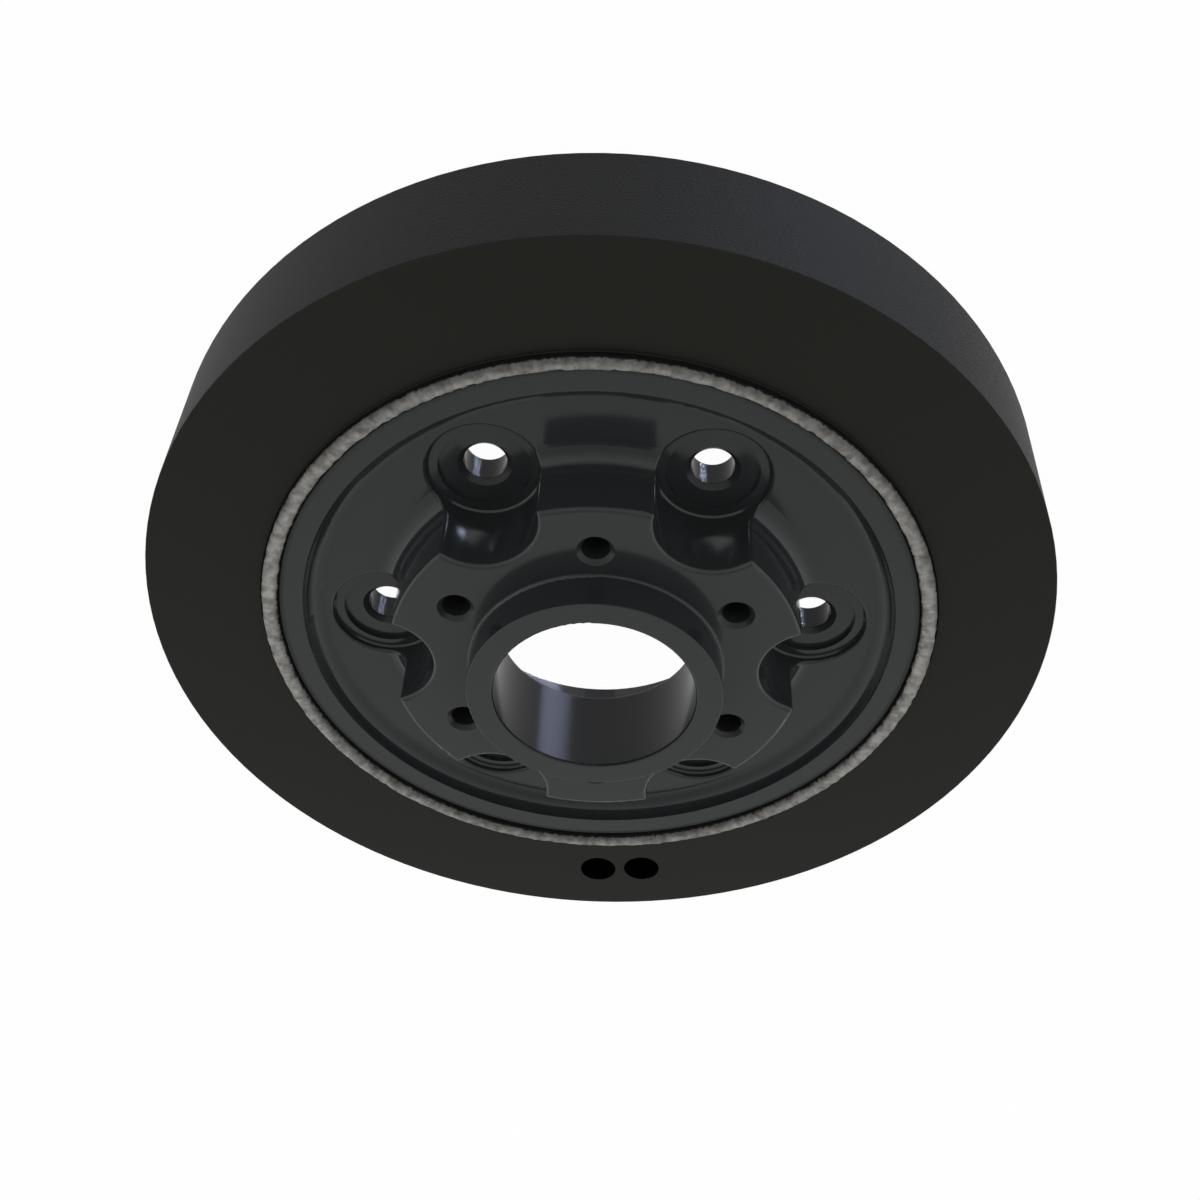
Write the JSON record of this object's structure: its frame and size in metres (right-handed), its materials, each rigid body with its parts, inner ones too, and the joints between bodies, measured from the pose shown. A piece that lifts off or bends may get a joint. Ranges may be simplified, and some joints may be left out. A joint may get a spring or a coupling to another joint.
{
  "type": "harmonic balancer",
  "caption": "Crankshaft vibration damper: a heavy iron ring bonded by rubber to a bolted hub with a scalloped boss, a centring collar and a rear register.",
  "frame": {"origin": "on the crankshaft's axis, in the plane of the inertia ring's rear face", "axes": "+Z along the crankshaft's axis towards the front of the engine, +Y through the first balance hole"},
  "size_m": [0.318, 0.318, 0.0824],
  "materials": {
    "inertia_ring": "turned iron under thin satin black paint",
    "rubber_ring": "rough, weathered grey-black rubber",
    "hub": "turned iron under glossy dark grey paint"
  },
  "bodies": {
    "root": {"inertia_ring": "inertia_ring", "rubber_ring": "rubber_ring", "hub": "hub"}
  },
  "joints": []
}
